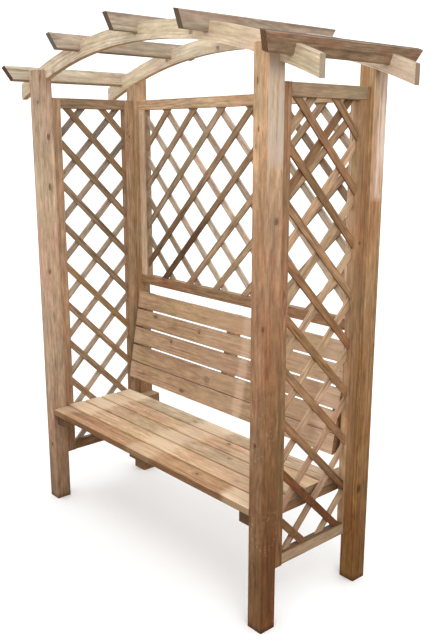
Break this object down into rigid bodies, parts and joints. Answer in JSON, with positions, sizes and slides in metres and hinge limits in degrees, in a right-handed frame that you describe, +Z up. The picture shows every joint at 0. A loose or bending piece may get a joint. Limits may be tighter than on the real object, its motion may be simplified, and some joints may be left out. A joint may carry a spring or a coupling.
{
  "type": "wooden pergola arbour seat",
  "caption": "Timber garden arbour: square posts carry arched beams and slant-cut purlins, with diagonal lattice sides and back around a slatted bench with a leaning backrest.",
  "frame": {"origin": "on the ground, in the middle of the footprint", "axes": "+Z up, +Y from the open front towards the backrest, +X to the right as seen from the open front"},
  "size_m": [1.796, 0.76, 2.149],
  "materials": {
    "post_timber": "planed softwood, weathered brown",
    "arch_timber": "planed softwood, pale",
    "purlin_timber": "planed softwood, greyish brown",
    "frame_timber": "planed softwood, brown",
    "lattice_timber": "sawn softwood laths, brown",
    "seat_timber": "planed softwood, pale",
    "back_timber": "planed softwood, pinkish brown",
    "bearer_timber": "sawn softwood, shaded brown"
  },
  "bodies": {
    "root": {"front_left_post": "post_timber", "front_right_post": "post_timber", "rear_left_post": "post_timber", "rear_right_post": "post_timber", "front_arch": "arch_timber", "rear_arch": "arch_timber", "left_outer_purlin": "purlin_timber", "left_inner_purlin": "purlin_timber", "centre_purlin": "purlin_timber", "right_inner_purlin": "purlin_timber", "right_outer_purlin": "purlin_timber", "left_panel_front_stile": "frame_timber", "left_panel_rear_stile": "frame_timber", "left_panel_top_rail": "frame_timber", "left_panel_bottom_rail": "frame_timber", "left_panel_lattice": "lattice_timber", "right_panel_front_stile": "frame_timber", "right_panel_rear_stile": "frame_timber", "right_panel_top_rail": "frame_timber", "right_panel_bottom_rail": "frame_timber", "right_panel_lattice": "lattice_timber", "back_panel_left_stile": "frame_timber", "back_panel_right_stile": "frame_timber", "back_panel_top_rail": "frame_timber", "back_panel_bottom_rail": "frame_timber", "back_panel_lattice": "lattice_timber", "seat_slat_1": "seat_timber", "seat_slat_2": "seat_timber", "seat_slat_3": "seat_timber", "seat_slat_4": "seat_timber", "seat_slat_5": "seat_timber", "left_seat_bearer": "bearer_timber", "middle_seat_bearer": "bearer_timber", "right_seat_bearer": "bearer_timber", "back_slat_1": "back_timber", "back_slat_2": "back_timber", "back_slat_3": "back_timber", "back_slat_4": "back_timber", "back_slat_5": "back_timber", "left_back_batten": "bearer_timber", "middle_back_batten": "bearer_timber", "right_back_batten": "bearer_timber"}
  },
  "joints": []
}
